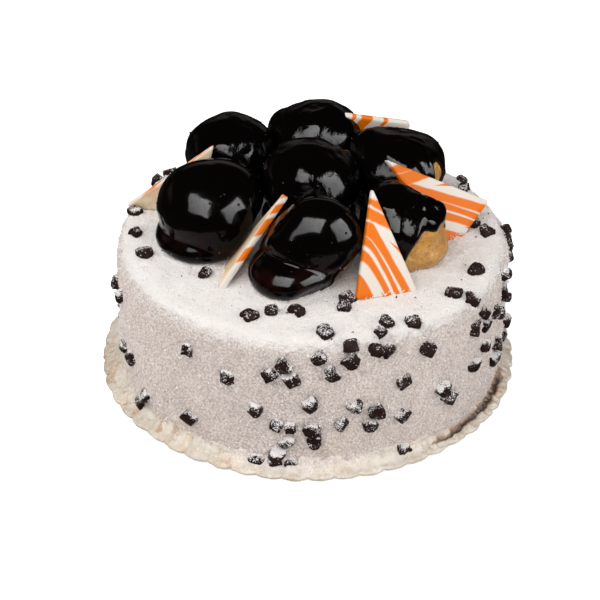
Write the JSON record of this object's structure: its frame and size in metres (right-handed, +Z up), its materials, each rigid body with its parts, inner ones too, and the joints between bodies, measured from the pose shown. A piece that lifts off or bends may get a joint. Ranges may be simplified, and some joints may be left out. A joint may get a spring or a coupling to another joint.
{
  "type": "profiterole cake",
  "caption": "Round cream cake dusted with pale crumbs and dotted with dark chips, topped with glazed cream puffs and marbled triangular chocolate shards.",
  "frame": {"origin": "centre of the flat underside of the cream foot, where the cake rests", "axes": "+Z up; +X to the viewer's right and -Y towards the viewer, as the cake is shown"},
  "size_m": [0.2202, 0.2166, 0.1255],
  "materials": {
    "crumb_coat": "matt white crumb dust",
    "cream": "soft matt",
    "crust": "baked, slightly sticky",
    "glaze": "mirror gloss",
    "marbled_chocolate": "satin"
  },
  "bodies": {
    "root": {"cake_body": "crumb_coat", "cream_foot": "cream", "puff_front_left": "crust", "puff_front": "crust", "puff_centre": "crust", "puff_back_left": "crust", "puff_back": "crust", "puff_back_right": "crust", "puff_right": "crust", "glaze_front_left": "glaze", "glaze_front": "glaze", "glaze_centre": "glaze", "glaze_back_left": "glaze", "glaze_back": "glaze", "glaze_back_right": "glaze", "glaze_right": "glaze", "shard_left": "marbled_chocolate", "shard_front": "marbled_chocolate", "shard_front_right": "marbled_chocolate", "shard_right": "marbled_chocolate", "shard_back": "marbled_chocolate"}
  },
  "joints": []
}
